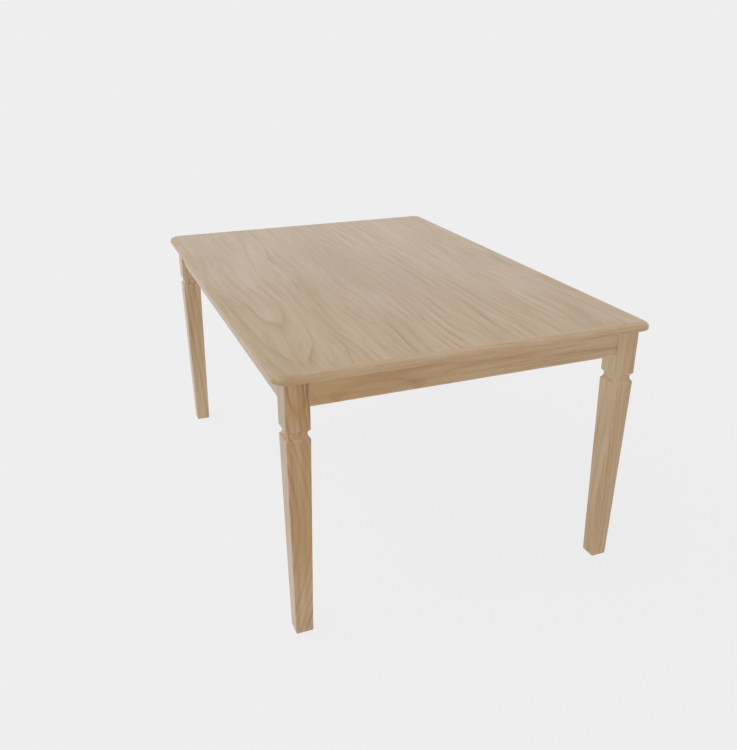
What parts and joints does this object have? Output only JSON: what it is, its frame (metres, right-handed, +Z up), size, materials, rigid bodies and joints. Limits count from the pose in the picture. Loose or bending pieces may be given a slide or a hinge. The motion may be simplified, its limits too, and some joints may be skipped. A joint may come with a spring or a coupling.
{
  "type": "miniature dining table",
  "caption": "Dolls' house dining table: rectangular top with rounded corners and edge, straight aprons, and square tapered legs with a groove cut round each.",
  "frame": {"origin": "on the floor, under the middle of the top", "axes": "+Z up, +Y along the length towards the back end, +X across the width towards the right side"},
  "size_m": [0.0888, 0.127, 0.0635],
  "materials": {
    "top_wood": "pale ash, sanded smooth, clear matt",
    "leg_wood": "pale ash, sanded smooth, clear matt",
    "apron_wood": "pale ash, sanded smooth, clear matt",
    "block_wood": "sawn, unfinished",
    "dowel_wood": "turned, unfinished"
  },
  "bodies": {
    "root": {"tabletop": "top_wood", "leg_front_left": "leg_wood", "leg_front_right": "leg_wood", "leg_back_left": "leg_wood", "leg_back_right": "leg_wood", "apron_front": "apron_wood", "apron_back": "apron_wood", "apron_left": "apron_wood", "apron_right": "apron_wood", "corner_block_front_left": "block_wood", "corner_block_front_right": "block_wood", "corner_block_back_left": "block_wood", "corner_block_back_right": "block_wood", "dowel_front_apron_left_end": "dowel_wood", "dowel_front_apron_right_end": "dowel_wood", "dowel_back_apron_left_end": "dowel_wood", "dowel_back_apron_right_end": "dowel_wood", "dowel_left_apron_front_end": "dowel_wood", "dowel_left_apron_back_end": "dowel_wood", "dowel_right_apron_front_end": "dowel_wood", "dowel_right_apron_back_end": "dowel_wood"}
  },
  "joints": []
}
